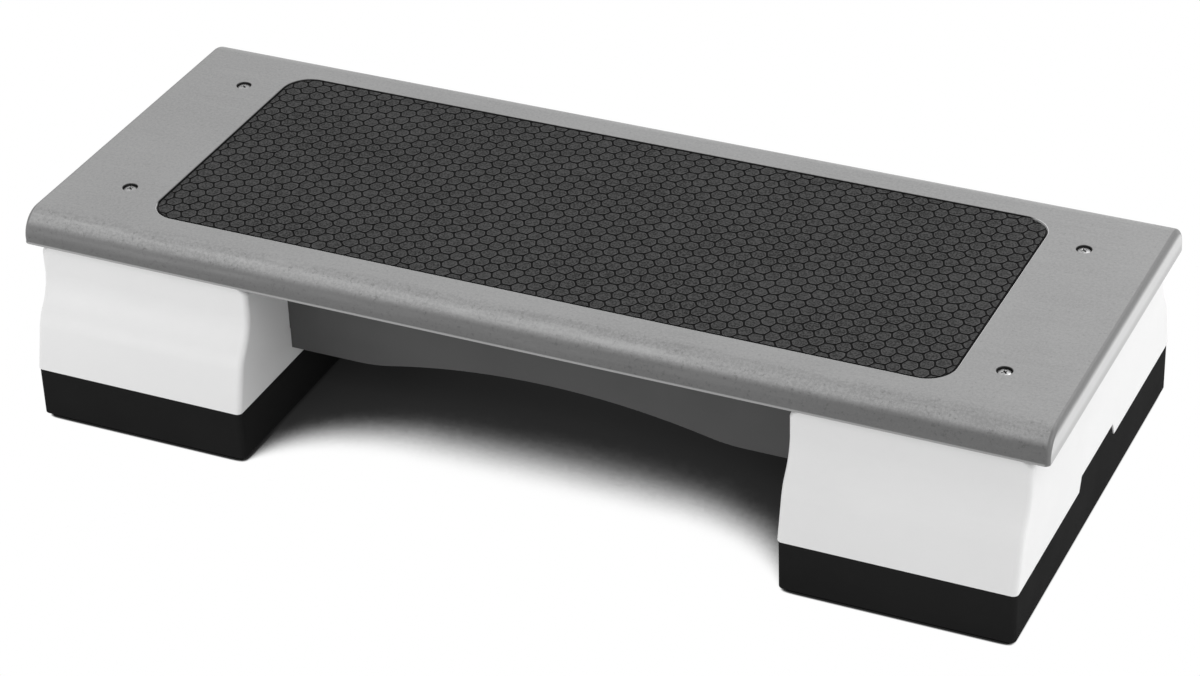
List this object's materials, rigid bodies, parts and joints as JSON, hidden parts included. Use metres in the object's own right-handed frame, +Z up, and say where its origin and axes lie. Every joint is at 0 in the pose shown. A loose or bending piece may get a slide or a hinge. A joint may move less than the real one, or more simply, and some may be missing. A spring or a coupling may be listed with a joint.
{
  "type": "aerobic step platform",
  "caption": "Low exercise step: bullnosed grey deck with an inlaid black tread mat on white flared legs that plug onto black riser blocks, joined by arched beams.",
  "frame": {"origin": "on the floor under the middle of the deck, at the bottom centre of the bounding box", "axes": "+X along the deck, +Y towards the back, +Z up out of the tread"},
  "size_m": [0.98, 0.4288, 0.2],
  "materials": {
    "deck_grey": "satin, fine moulded grain",
    "mat_rubber": "matte hexagon tread",
    "leg_white": "satin white",
    "beam_grey": "matte dark grey",
    "riser_black": "matte black, fine grain",
    "foot_rubber": "matte rubber",
    "screw_steel": "zinc plated",
    "insert_brass": "turned"
  },
  "bodies": {
    "platform": {"deck": "deck_grey", "mat": "mat_rubber", "deck_screws": "screw_steel", "threaded_inserts": "insert_brass", "left_leg": "leg_white", "right_leg": "leg_white", "left_leg_feet": "foot_rubber", "right_leg_feet": "foot_rubber", "front_beam": "beam_grey", "rear_beam": "beam_grey", "front_beam_screws": "screw_steel", "rear_beam_screws": "screw_steel", "left_brace": "beam_grey", "middle_brace": "beam_grey", "right_brace": "beam_grey"},
    "left_riser_block": {"left_riser": "riser_black", "left_sole": "foot_rubber"},
    "right_riser_block": {"right_riser": "riser_black", "right_sole": "foot_rubber"}
  },
  "joints": [
    {"name": "left_riser_pull", "type": "slide", "parent": "platform", "child": "left_riser_block", "axis": [0, 0, -1], "range_m": [0, 0.06]},
    {"name": "right_riser_pull", "type": "slide", "parent": "platform", "child": "right_riser_block", "axis": [0, 0, -1], "range_m": [0, 0.06]}
  ]
}
